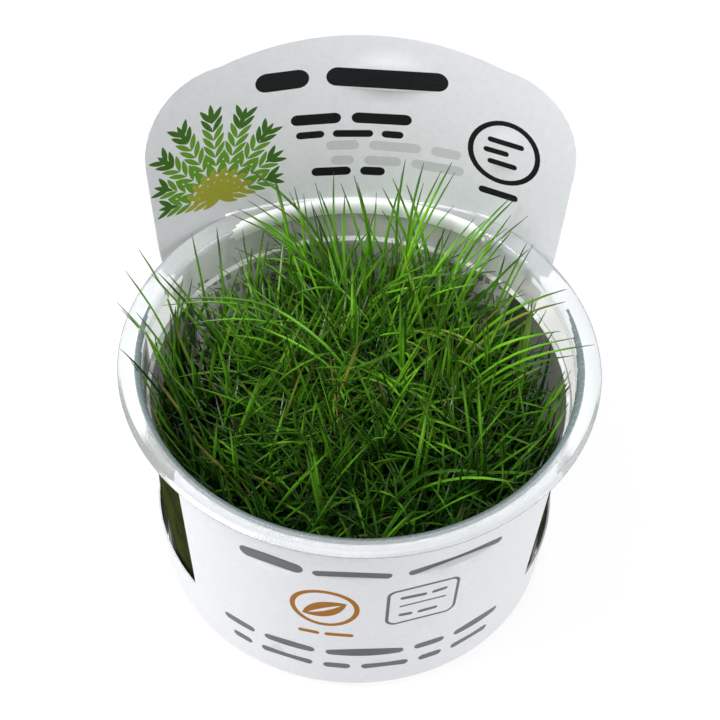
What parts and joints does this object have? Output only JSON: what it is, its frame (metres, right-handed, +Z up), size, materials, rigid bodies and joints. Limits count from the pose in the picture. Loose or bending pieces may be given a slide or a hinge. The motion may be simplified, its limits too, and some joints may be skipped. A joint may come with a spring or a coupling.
{
  "type": "dwarf hairgrass in a tissue-culture cup",
  "caption": "Low clump of fine arching grass blades rooted in nutrient gel, in a clear flanged cup with a printed card sleeve and tall rounded header.",
  "frame": {"origin": "centre of the cup's flat underside, on the cup's axis", "axes": "+Z up along the cup's axis; the sleeve's front panel faces -Y and its tall header stands at +Y"},
  "size_m": [0.1, 0.1031, 0.102],
  "materials": {
    "clear_plastic": "clear, glossy",
    "nutrient_gel": "wet, translucent",
    "white_card": "smooth satin card with grey, orange-brown and green print",
    "grass_blade": "satin, slightly waxy"
  },
  "bodies": {
    "root": {"cup": "clear_plastic", "gel": "nutrient_gel", "card_sleeve": "white_card", "tuft_01": "grass_blade", "tuft_02": "grass_blade", "tuft_03": "grass_blade", "tuft_04": "grass_blade", "tuft_05": "grass_blade", "tuft_06": "grass_blade", "tuft_07": "grass_blade", "tuft_08": "grass_blade", "tuft_09": "grass_blade", "tuft_10": "grass_blade", "tuft_11": "grass_blade", "tuft_12": "grass_blade", "tuft_13": "grass_blade", "tuft_14": "grass_blade", "tuft_15": "grass_blade", "tuft_16": "grass_blade", "tuft_17": "grass_blade", "tuft_18": "grass_blade", "tuft_19": "grass_blade", "tuft_20": "grass_blade", "tuft_21": "grass_blade", "tuft_22": "grass_blade", "tuft_23": "grass_blade", "tuft_24": "grass_blade", "tuft_25": "grass_blade", "tuft_26": "grass_blade", "tuft_27": "grass_blade", "tuft_28": "grass_blade", "tuft_29": "grass_blade", "tuft_30": "grass_blade", "tuft_31": "grass_blade", "tuft_32": "grass_blade", "tuft_33": "grass_blade", "tuft_34": "grass_blade", "tuft_35": "grass_blade", "tuft_36": "grass_blade", "tuft_37": "grass_blade"}
  },
  "joints": []
}
